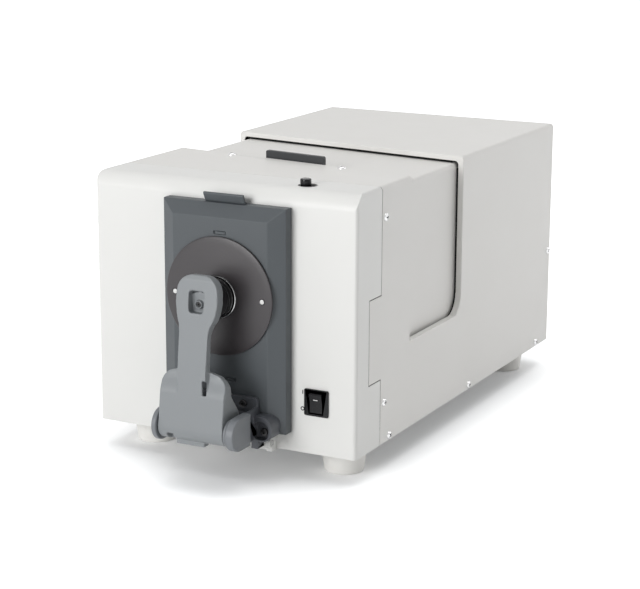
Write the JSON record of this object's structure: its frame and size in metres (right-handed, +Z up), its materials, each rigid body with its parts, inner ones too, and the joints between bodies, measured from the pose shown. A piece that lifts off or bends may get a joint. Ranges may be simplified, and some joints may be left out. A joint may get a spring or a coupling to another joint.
{
  "type": "benchtop colorimeter",
  "caption": "Benchtop colour measuring instrument: white body, slanted sliding lid over a sample chamber, hinged front plate with round target mask and swinging specimen holder.",
  "frame": {"origin": "on the bench, midway between the two sides, and midway between the holder hinge's covers in front and the rear edge of the body", "axes": "+X to the right seen from the front, +Y to the rear, +Z up; the front plate faces -Y"},
  "size_m": [0.2754, 0.5565, 0.274],
  "materials": {
    "cover_paint": "fine-textured off-white powder coat on folded sheet",
    "lid_paint": "fine-textured off-white powder coat",
    "bezel_plastic": "satin off-white moulding",
    "rear_paint": "off-white powder coat",
    "tray_steel": "zinc-plated sheet",
    "frame_casting": "dark painted casting",
    "foot_rubber": "warm white moulded rubber",
    "screw_steel": "plated pan heads",
    "grip_plastic": "dark grey moulding",
    "rail_steel": "bent plated sheet",
    "foam": "black sealing foam",
    "slate_paint": "slate grey fine-textured coat",
    "pin_steel": "ground steel",
    "mask_paint": "warm grey satin coat",
    "ring_black": "glossy black",
    "dot_white": "white",
    "bracket_paint": "dark grey coat",
    "black_screw": "blackened",
    "cover_plastic": "mid grey moulding",
    "arm_plastic": "mid grey satin moulding",
    "pad_black": "polished black",
    "switch_black": "black moulding",
    "knob_black": "black moulding",
    "inner_metal": "plain aluminium",
    "inner_black": "matt black coat",
    "sphere_white": "matt white diffusing coat on a moulded shell",
    "clear_glass": "clear",
    "grating_glass": "ruled mirror",
    "motor_steel": "dark plated",
    "psu_steel": "perforated plated sheet",
    "sleeve_blue": "blue sleeve",
    "board_green": "green circuit board",
    "brass": "plain brass",
    "socket_black": "black moulding",
    "blade_metal": "plated"
  },
  "bodies": {
    "body": {"base_tray": "tray_steel", "main_cover": "cover_paint", "front_bezel": "bezel_plastic", "rear_panel": "rear_paint", "front_frame": "frame_casting", "feet": "foot_rubber", "foot_screws": "screw_steel", "lid_rails": "rail_steel", "cover_seals": "foam", "cover_screws": "screw_steel", "rear_screws": "screw_steel", "door_ears": "bezel_plastic", "door_pins": "pin_steel", "door_catch": "pin_steel", "switch_frame": "switch_black", "knob_guide": "knob_black", "chamber_front_wall": "inner_black", "chamber_rear_wall": "inner_black", "chamber_floor": "inner_black", "chamber_seals": "foam", "sphere_front": "sphere_white", "sphere_rear": "sphere_white", "sphere_screws": "screw_steel", "port_ring": "sphere_white", "lamp_housing": "inner_metal", "flash_lamp": "clear_glass", "filter_motor": "motor_steel", "lens_barrel": "inner_black", "beam_lens": "clear_glass", "spectrometer_base": "inner_black", "spectrometer_lid": "inner_metal", "grating": "grating_glass", "sensor_array": "board_green", "power_supply": "psu_steel", "capacitors": "sleeve_blue", "main_board": "board_green", "board_posts": "brass", "inlet_socket": "socket_black", "inlet_blades": "blade_metal", "data_socket": "psu_steel"},
    "lid": {"slide_lid": "lid_paint", "lid_grip": "grip_plastic"},
    "door": {"door_plate": "slate_paint", "door_pull": "slate_paint", "target_mask": "mask_paint", "mask_ring": "ring_black", "mask_pins": "dot_white", "holder_bracket": "bracket_paint", "bracket_screws": "black_screw", "hinge_covers": "cover_plastic", "hinge_pin": "pin_steel"},
    "holder": {"holder_arm": "arm_plastic", "sample_pad": "pad_black", "pad_screw": "black_screw", "torsion_spring": "pin_steel"},
    "rocker": {"power_rocker": "switch_black"},
    "viewer": {"viewer_knob": "knob_black", "viewer_shutter": "inner_metal"},
    "filter": {"filter_carriage": "inner_metal"}
  },
  "joints": [
    {"name": "lid_slide", "type": "slide", "parent": "body", "child": "lid", "axis": [0, 1, 0], "range_m": [0, 0.108]},
    {"name": "door_hinge", "type": "hinge", "parent": "body", "child": "door", "pos_m": [0.0085, -0.20875, 0.034], "axis": [1, 0, 0], "range_deg": [0, 20]},
    {"name": "holder_hinge", "type": "hinge", "parent": "door", "child": "holder", "pos_m": [0.0085, -0.26325, 0.0565], "axis": [1, 0, 0], "range_deg": [0, 80], "stiffness_Nm_per_rad": 0.25, "springref_deg": -68.75},
    {"name": "power_switch", "type": "hinge", "parent": "body", "child": "rocker", "pos_m": [0.0966, -0.19875, 0.0753], "axis": [1, 0, 0], "range_deg": [-14, 0]},
    {"name": "viewer_slide", "type": "slide", "parent": "body", "child": "viewer", "axis": [1, 0, 0], "range_m": [0, 0.0046]},
    {"name": "filter_lift", "type": "slide", "parent": "body", "child": "filter", "axis": [0, 0, 1], "range_m": [-0.02, 0]}
  ]
}
